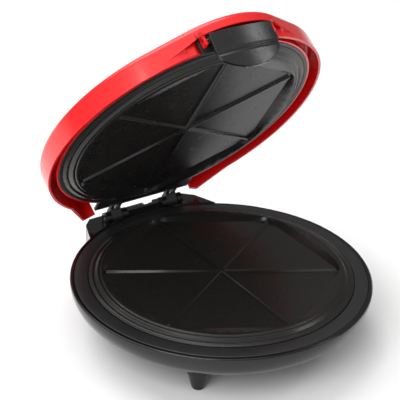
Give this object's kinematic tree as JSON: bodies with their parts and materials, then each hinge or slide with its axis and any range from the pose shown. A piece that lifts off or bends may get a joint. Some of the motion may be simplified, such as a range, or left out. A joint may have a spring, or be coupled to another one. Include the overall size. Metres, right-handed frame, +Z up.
{
  "type": "quesadilla maker",
  "caption": "Round countertop quesadilla maker: black bowl base with a ribbed cooking plate, red domed lid with a twin plate on a rear hinge, and a swinging front latch tongue.",
  "frame": {"origin": "on the table, under the middle of the opened appliance's bounding box", "axes": "+Z up, front towards -Y, the hinge axis along X at the back"},
  "size_m": [0.292, 0.3117, 0.3251],
  "materials": {
    "bowl_black": "gloss black moulded plastic",
    "deck_black": "satin black heat-resistant plastic",
    "nonstick": "cast, black non-stick coated",
    "element_steel": "drawn tube, oxidised",
    "bright_sheet": "rolled sheet",
    "zinc_steel": "zinc plated",
    "inner_black": "moulded insulator",
    "lead_sleeve": "heat-resistant sleeve",
    "pad_rubber": "moulded rubber",
    "shell_red": "gloss red moulded plastic",
    "frame_black": "satin black heat-resistant plastic",
    "latch_black": "satin black moulded plastic",
    "lens_red": "tinted clear lens",
    "lens_green": "tinted clear lens",
    "lamp_body": "small neon lamp"
  },
  "bodies": {
    "base": {"base_housing": "bowl_black", "base_deck": "deck_black", "lower_plate": "nonstick", "lower_element": "element_steel", "lower_reflector": "bright_sheet", "lower_element_clamps": "zinc_steel", "lower_plate_screws": "zinc_steel", "lower_thermostat": "inner_black", "lower_thermal_fuse": "zinc_steel", "terminal_block": "inner_black", "base_wiring": "lead_sleeve", "cord_inlet": "inner_black", "foot_front_left": "bowl_black", "foot_front_right": "bowl_black", "foot_rear_left": "bowl_black", "foot_rear_right": "bowl_black", "foot_pad_front_left": "pad_rubber", "foot_pad_front_right": "pad_rubber", "foot_pad_rear_left": "pad_rubber", "foot_pad_rear_right": "pad_rubber", "hinge_pin_left": "zinc_steel", "hinge_pin_right": "zinc_steel"},
    "lid": {"lid_shell": "shell_red", "lid_frame": "frame_black", "hinge_arm_left": "frame_black", "hinge_arm_right": "frame_black", "hinge_arm_screws": "zinc_steel", "upper_plate": "nonstick", "upper_element": "element_steel", "upper_reflector": "bright_sheet", "upper_element_clamps": "zinc_steel", "upper_plate_screws": "zinc_steel", "upper_thermal_fuse": "zinc_steel", "lid_wiring": "lead_sleeve", "power_light_lens": "lens_red", "ready_light_lens": "lens_green", "power_lamp": "lamp_body", "ready_lamp": "lamp_body", "latch_bracket": "frame_black", "latch_pin": "zinc_steel"},
    "latch": {"latch_handle": "latch_black"}
  },
  "joints": [
    {"name": "lid_hinge", "type": "hinge", "parent": "base", "child": "lid", "pos_m": [0, 0.136, 0.0641], "axis": [-1, 0, 0], "range_deg": [-55.3, 39]},
    {"name": "latch_pivot", "type": "hinge", "parent": "lid", "child": "latch", "pos_m": [0, -0.01769, 0.30871], "axis": [-1, 0, 0], "range_deg": [-2, 9]}
  ]
}
